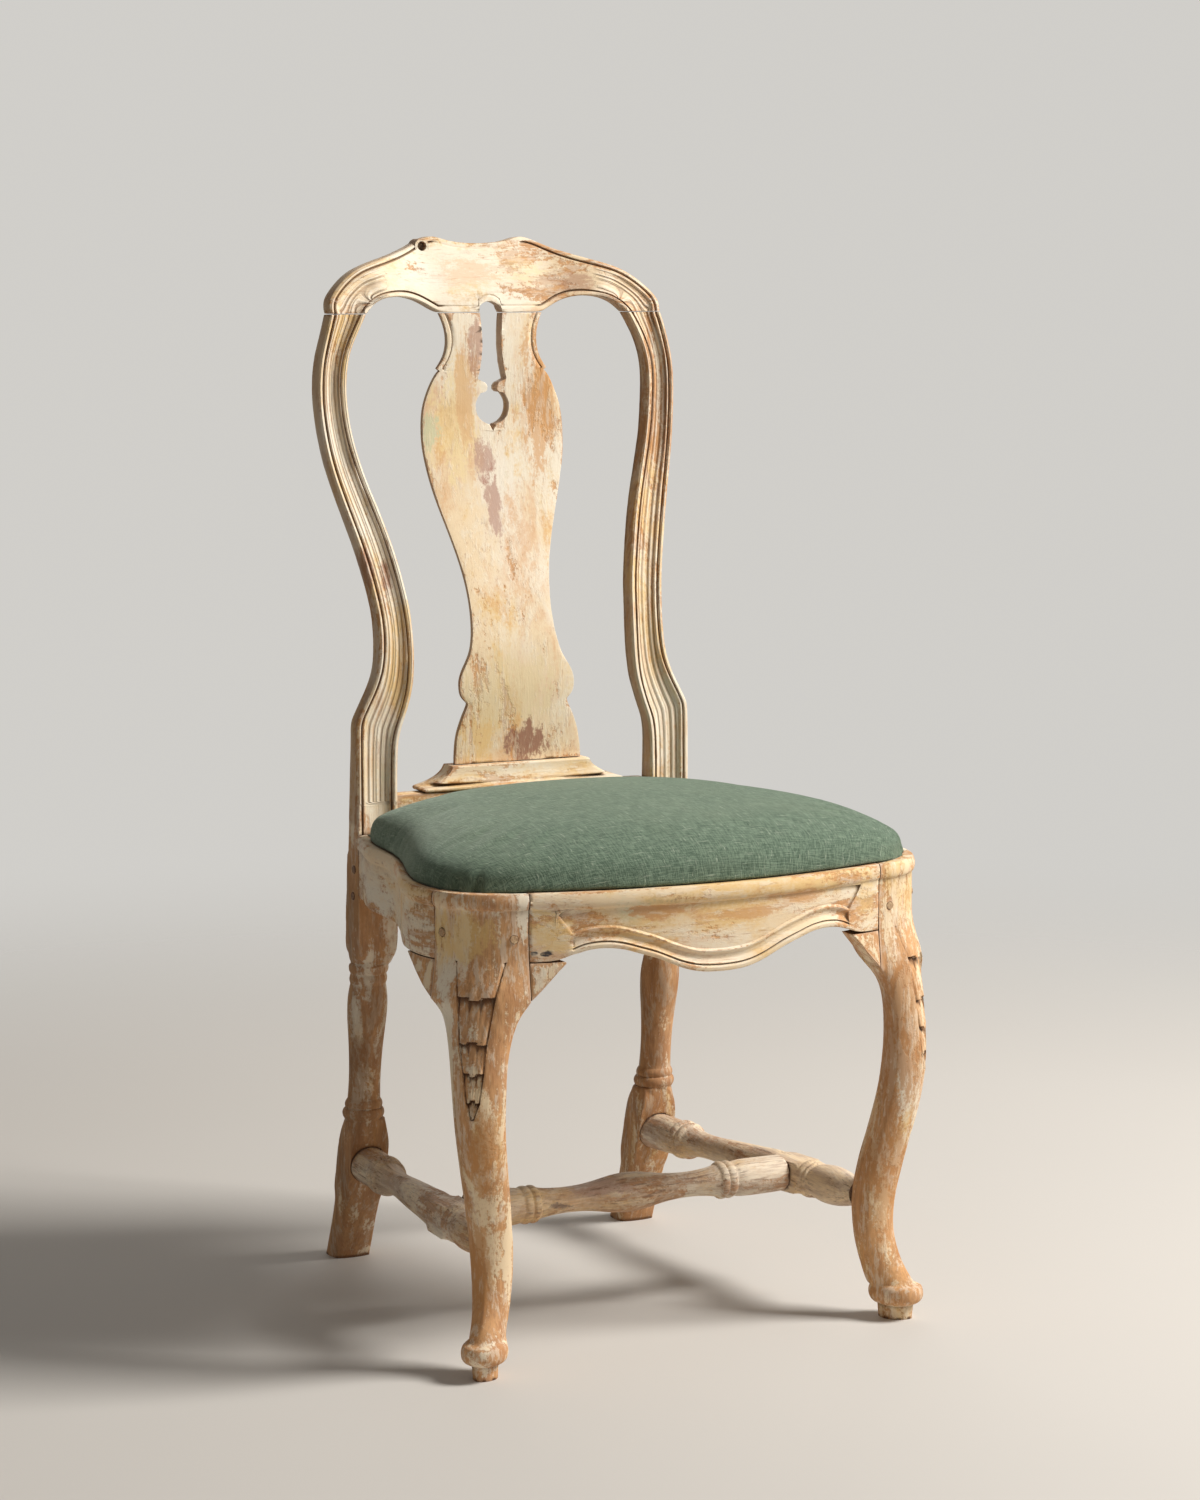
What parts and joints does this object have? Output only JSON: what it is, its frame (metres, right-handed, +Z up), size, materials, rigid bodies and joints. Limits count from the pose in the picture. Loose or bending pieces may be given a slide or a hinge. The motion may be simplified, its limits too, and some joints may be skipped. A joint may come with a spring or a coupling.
{
  "type": "side chair",
  "caption": "Old painted side chair with moulded bow back, vase splat, bowed apron, cabriole front legs, turned H stretcher and green linen drop-in seat.",
  "frame": {"origin": "on the floor under the middle of the chair's bounding box", "axes": "+X is the sitter's left side seen from the front as picture right, -Y is the front, +Z is up"},
  "size_m": [0.5312, 0.5686, 1.069],
  "materials": {
    "scraped_wood": "scraped and worn old paint over bare wood, matte",
    "peg_wood": "dark end grain",
    "seat_frame_wood": "raw sawn wood",
    "webbing_jute": "woven jute strap",
    "green_linen": "slubby plain-weave linen"
  },
  "bodies": {
    "root": {"crest_rail": "scraped_wood", "cross_stretcher": "scraped_wood", "front_leg_left": "scraped_wood", "front_leg_right": "scraped_wood", "front_rail": "scraped_wood", "knee_block_front_left": "scraped_wood", "knee_block_front_right": "scraped_wood", "knee_block_side_left": "scraped_wood", "knee_block_side_right": "scraped_wood", "leg_peg_front_left": "peg_wood", "leg_peg_front_right": "peg_wood", "leg_peg_side_left": "peg_wood", "leg_peg_side_right": "peg_wood", "post_peg_lower_left": "peg_wood", "post_peg_lower_right": "peg_wood", "post_peg_upper_left": "peg_wood", "post_peg_upper_right": "peg_wood", "rear_post_left": "scraped_wood", "rear_post_right": "scraped_wood", "rear_rail": "scraped_wood", "seat_bar_front": "seat_frame_wood", "seat_bar_left": "seat_frame_wood", "seat_bar_rear": "seat_frame_wood", "seat_bar_right": "seat_frame_wood", "seat_cushion": "green_linen", "side_rail_left": "scraped_wood", "side_rail_right": "scraped_wood", "side_stretcher_left": "scraped_wood", "side_stretcher_right": "scraped_wood", "splat": "scraped_wood", "splat_shoe": "scraped_wood", "webbing_cross_front": "webbing_jute", "webbing_cross_middle": "webbing_jute", "webbing_cross_rear": "webbing_jute", "webbing_long_left": "webbing_jute", "webbing_long_middle": "webbing_jute", "webbing_long_right": "webbing_jute"}
  },
  "joints": []
}
